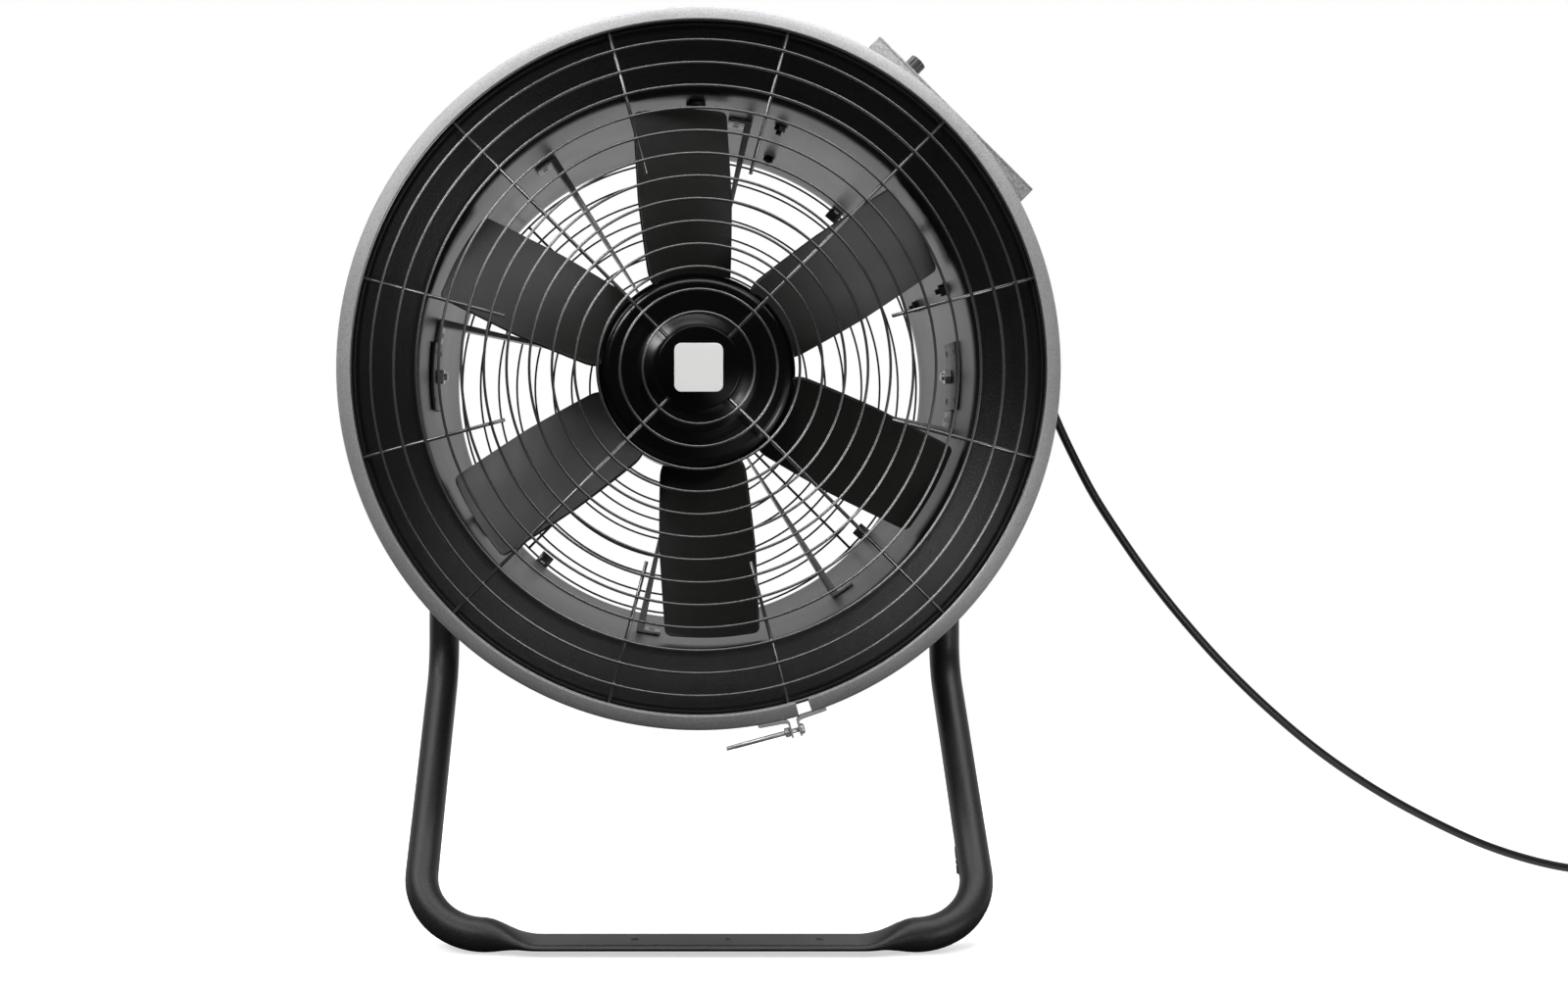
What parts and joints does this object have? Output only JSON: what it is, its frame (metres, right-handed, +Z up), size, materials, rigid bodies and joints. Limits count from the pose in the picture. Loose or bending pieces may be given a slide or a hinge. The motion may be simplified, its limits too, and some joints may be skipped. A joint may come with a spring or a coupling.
{
  "type": "drum fan",
  "caption": "Drum fan with a flared steel drum, wire guards, a bladed impeller on a strut-mounted motor, a speed control box and a tilting tubular floor stand.",
  "frame": {"origin": "on the floor, straight below the tilt axis, in the middle of the fan's footprint without its cord", "axes": "+Z up; -Y the way the drum's guarded mouth faces; +X to the right of someone who looks at that mouth"},
  "size_m": [1.3131, 0.4311, 0.794],
  "materials": {
    "drum_paint": "black satin powder coat with a fine texture",
    "band_paint": "dark grey textured powder coat",
    "guard_wire": "semi-gloss black coated wire",
    "disc_paint": "gloss black paint",
    "strut_paint": "grey-black satin paint",
    "motor_paint": "black paint",
    "box_paint": "dark grey textured powder coat",
    "stand_paint": "satin black powder coat",
    "blade_plastic": "black moulded plastic with a fine grain",
    "hub_plastic": "polished black plastic",
    "knob_plastic": "black moulded plastic",
    "badge_plastic": "plain white plastic",
    "zinc": "bright zinc plate",
    "bearing_steel": "ground steel",
    "motor_iron": "laminated iron",
    "rubber": "black rubber",
    "cord_rubber": "black rubber cord sheath",
    "plug_rubber": "black moulded rubber"
  },
  "bodies": {
    "stand": {"stand_frame": "stand_paint", "rear_leg_right": "stand_paint", "rear_leg_left": "stand_paint", "rear_foot_right": "rubber", "rear_foot_left": "rubber", "cord": "cord_rubber", "cord_coil": "cord_rubber", "plug": "plug_rubber"},
    "drum": {"drum_shell": "drum_paint", "clamp_band": "band_paint", "clamp_bolt": "zinc", "clamp_nut": "zinc", "front_guard": "guard_wire", "guard_disc": "disc_paint", "badge_plate": "badge_plastic", "rear_guard": "guard_wire", "rear_clip_1": "strut_paint", "rear_clip_2": "strut_paint", "rear_clip_3": "strut_paint", "rear_clip_4": "strut_paint", "barrel_plug": "rubber", "motor_housing": "motor_paint", "motor_front_cover": "motor_paint", "motor_rear_cover": "motor_paint", "front_bearing": "bearing_steel", "rear_bearing": "bearing_steel", "stator": "motor_iron", "motor_cradle": "strut_paint", "strut_1": "strut_paint", "strut_2": "strut_paint", "strut_3": "strut_paint", "strut_4": "strut_paint", "strut_5": "strut_paint", "strut_6": "strut_paint", "strut_7": "strut_paint", "strut_8": "strut_paint", "backing_plate_right": "strut_paint", "backing_plate_left": "strut_paint", "pivot_nut_right": "zinc", "pivot_nut_left": "zinc", "pivot_spacer_right": "knob_plastic", "pivot_spacer_left": "knob_plastic", "control_box": "box_paint", "control_lid": "box_paint", "speed_controller": "knob_plastic", "cable_gland": "knob_plastic", "strain_relief": "rubber"},
    "rotor": {"hub": "hub_plastic", "blade_1": "blade_plastic", "blade_2": "blade_plastic", "blade_3": "blade_plastic", "blade_4": "blade_plastic", "blade_5": "blade_plastic", "blade_6": "blade_plastic", "motor_shaft": "bearing_steel", "rotor_core": "motor_iron"},
    "speed_knob": {"speed_knob": "knob_plastic"},
    "knob_right": {"hand_knob_right": "knob_plastic"},
    "knob_left": {"hand_knob_left": "knob_plastic"}
  },
  "joints": [
    {"name": "drum_tilt", "type": "hinge", "parent": "stand", "child": "drum", "pos_m": [0, 0, 0.484], "axis": [-1, 0, 0], "range_deg": [-25, 50]},
    {"name": "rotor_spin", "type": "hinge", "parent": "drum", "child": "rotor", "pos_m": [0, 0, 0.484], "axis": [0, -1, 0], "continuous": true},
    {"name": "speed_turn", "type": "hinge", "parent": "drum", "child": "speed_knob", "pos_m": [0.1941, -0.025, 0.76154], "axis": [0.7071, 0, 0.7071], "range_deg": [0, 270]},
    {"name": "tighten_right", "type": "hinge", "parent": "drum", "child": "knob_right", "pos_m": [0.27, 0, 0.484], "axis": [1, 0, 0], "continuous": true},
    {"name": "tighten_left", "type": "hinge", "parent": "drum", "child": "knob_left", "pos_m": [-0.27, 0, 0.484], "axis": [-1, 0, 0], "continuous": true}
  ]
}
